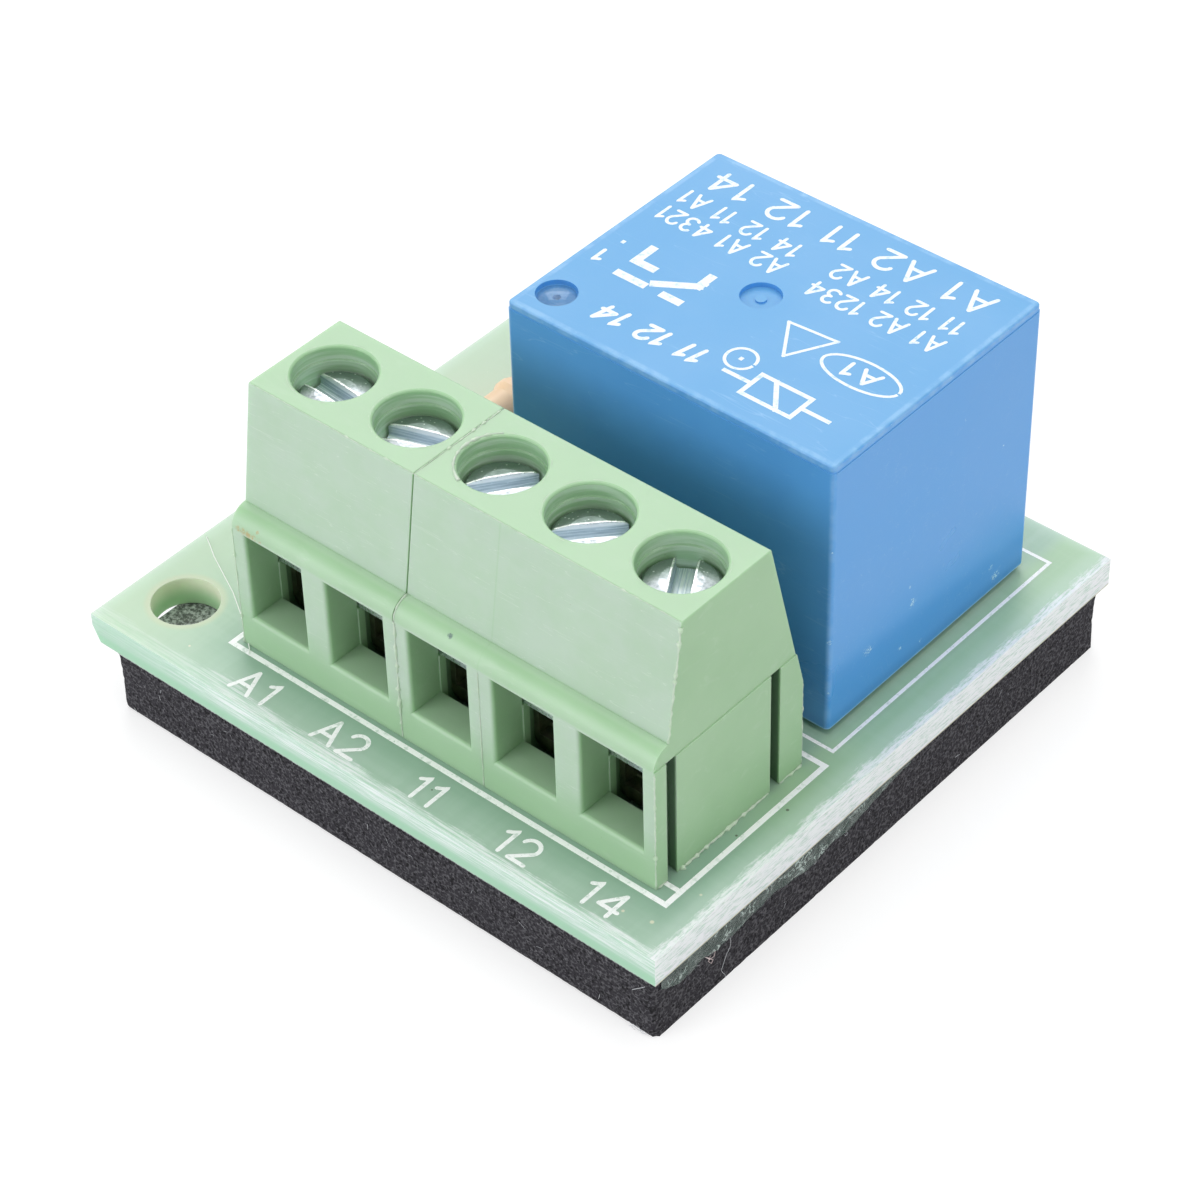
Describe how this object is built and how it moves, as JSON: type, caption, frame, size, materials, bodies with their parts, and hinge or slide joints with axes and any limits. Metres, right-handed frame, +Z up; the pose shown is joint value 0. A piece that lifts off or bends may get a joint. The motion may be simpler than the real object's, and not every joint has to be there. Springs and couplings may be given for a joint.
{
  "type": "relay module board",
  "caption": "Small relay module: box-shaped relay and a row of screw terminals on a circuit board with a foam pad underneath.",
  "frame": {"origin": "under the middle of the board, on the foam pad's underside", "axes": "+X along the row of terminals from the coil end to the contact end, +Y from the terminals' wire side to the back of the board, +Z up"},
  "size_m": [0.0352, 0.034, 0.0212],
  "materials": {
    "board_laminate": "satin",
    "copper_foil": "satin",
    "solder": "satin",
    "clear_film": "gloss",
    "black_foam": "matte",
    "terminal_plastic": "satin",
    "zinc_screw": "gloss",
    "cage_brass": "satin",
    "tinned_strip": "satin",
    "relay_blue": "satin",
    "clear_glue": "gloss",
    "relay_base_plastic": "matte",
    "magnet_iron": "satin",
    "bobbin_plastic": "matte",
    "enamelled_wire": "gloss",
    "spring_bronze": "satin",
    "contact_silver": "satin",
    "contact_plate": "satin",
    "resistor_coating": "satin",
    "tinned_wire": "satin",
    "diode_epoxy": "matte",
    "led_red": "gloss"
  },
  "bodies": {
    "board": {"circuit_board": "board_laminate", "copper_tracks": "copper_foil", "solder_joints": "solder", "adhesive_film": "clear_film", "foam_pad": "black_foam", "terminal_housing_left": "terminal_plastic", "terminal_housing_right": "terminal_plastic", "terminal_contact_1": "tinned_strip", "terminal_contact_2": "tinned_strip", "terminal_contact_3": "tinned_strip", "terminal_contact_4": "tinned_strip", "terminal_contact_5": "tinned_strip", "relay_cover": "relay_blue", "vent_seal": "clear_glue", "relay_base": "relay_base_plastic", "magnet_yoke": "magnet_iron", "magnet_core": "magnet_iron", "coil_bobbin": "bobbin_plastic", "coil_winding": "enamelled_wire", "coil_pins": "tinned_strip", "normally_closed_contact": "contact_plate", "normally_open_contact": "contact_plate", "common_pin": "contact_plate", "resistor_body": "resistor_coating", "resistor_leads": "tinned_wire", "diode_body": "diode_epoxy", "diode_leads": "tinned_wire", "led_lens": "led_red", "led_leads": "tinned_wire"},
    "screw_1": {"clamp_screw_1": "zinc_screw"},
    "cage_1": {"clamp_cage_1": "cage_brass"},
    "screw_2": {"clamp_screw_2": "zinc_screw"},
    "cage_2": {"clamp_cage_2": "cage_brass"},
    "screw_3": {"clamp_screw_3": "zinc_screw"},
    "cage_3": {"clamp_cage_3": "cage_brass"},
    "screw_4": {"clamp_screw_4": "zinc_screw"},
    "cage_4": {"clamp_cage_4": "cage_brass"},
    "screw_5": {"clamp_screw_5": "zinc_screw"},
    "cage_5": {"clamp_cage_5": "cage_brass"},
    "armature": {"armature": "magnet_iron", "contact_spring": "spring_bronze", "moving_contact": "contact_silver"}
  },
  "joints": [
    {"name": "clamp_screw_1_turn", "type": "hinge", "parent": "board", "child": "screw_1", "pos_m": [-0.00793, -0.00884, 0.01739], "axis": [0, 0, -1], "range_deg": [0, 1575]},
    {"name": "clamp_cage_1_lift", "type": "slide", "parent": "board", "child": "cage_1", "axis": [0, 0, 1], "range_m": [0, 0.0021]},
    {"name": "clamp_screw_2_turn", "type": "hinge", "parent": "board", "child": "screw_2", "pos_m": [-0.00285, -0.00884, 0.01739], "axis": [0, 0, -1], "range_deg": [0, 1575]},
    {"name": "clamp_cage_2_lift", "type": "slide", "parent": "board", "child": "cage_2", "axis": [0, 0, 1], "range_m": [0, 0.0021]},
    {"name": "clamp_screw_3_turn", "type": "hinge", "parent": "board", "child": "screw_3", "pos_m": [0.00223, -0.00884, 0.01739], "axis": [0, 0, -1], "range_deg": [0, 1575]},
    {"name": "clamp_cage_3_lift", "type": "slide", "parent": "board", "child": "cage_3", "axis": [0, 0, 1], "range_m": [0, 0.0021]},
    {"name": "clamp_screw_4_turn", "type": "hinge", "parent": "board", "child": "screw_4", "pos_m": [0.00731, -0.00884, 0.01739], "axis": [0, 0, -1], "range_deg": [0, 1575]},
    {"name": "clamp_cage_4_lift", "type": "slide", "parent": "board", "child": "cage_4", "axis": [0, 0, 1], "range_m": [0, 0.0021]},
    {"name": "clamp_screw_5_turn", "type": "hinge", "parent": "board", "child": "screw_5", "pos_m": [0.01239, -0.00884, 0.01739], "axis": [0, 0, -1], "range_deg": [0, 1575]},
    {"name": "clamp_cage_5_lift", "type": "slide", "parent": "board", "child": "cage_5", "axis": [0, 0, 1], "range_m": [0, 0.0021]},
    {"name": "armature_swing", "type": "hinge", "parent": "board", "child": "armature", "pos_m": [-0.00226, 0.00621, 0.01624], "axis": [0, 1, 0], "range_deg": [0, 2.6], "stiffness_Nm_per_rad": 0.01, "springref_deg": -8.59}
  ],
  "couplings": [
    {"joint": "clamp_screw_1_turn", "follows": "clamp_cage_1_lift", "rad_per_m": 12566},
    {"joint": "clamp_screw_2_turn", "follows": "clamp_cage_2_lift", "rad_per_m": 12566},
    {"joint": "clamp_screw_3_turn", "follows": "clamp_cage_3_lift", "rad_per_m": 12566},
    {"joint": "clamp_screw_4_turn", "follows": "clamp_cage_4_lift", "rad_per_m": 12566},
    {"joint": "clamp_screw_5_turn", "follows": "clamp_cage_5_lift", "rad_per_m": 12566}
  ]
}
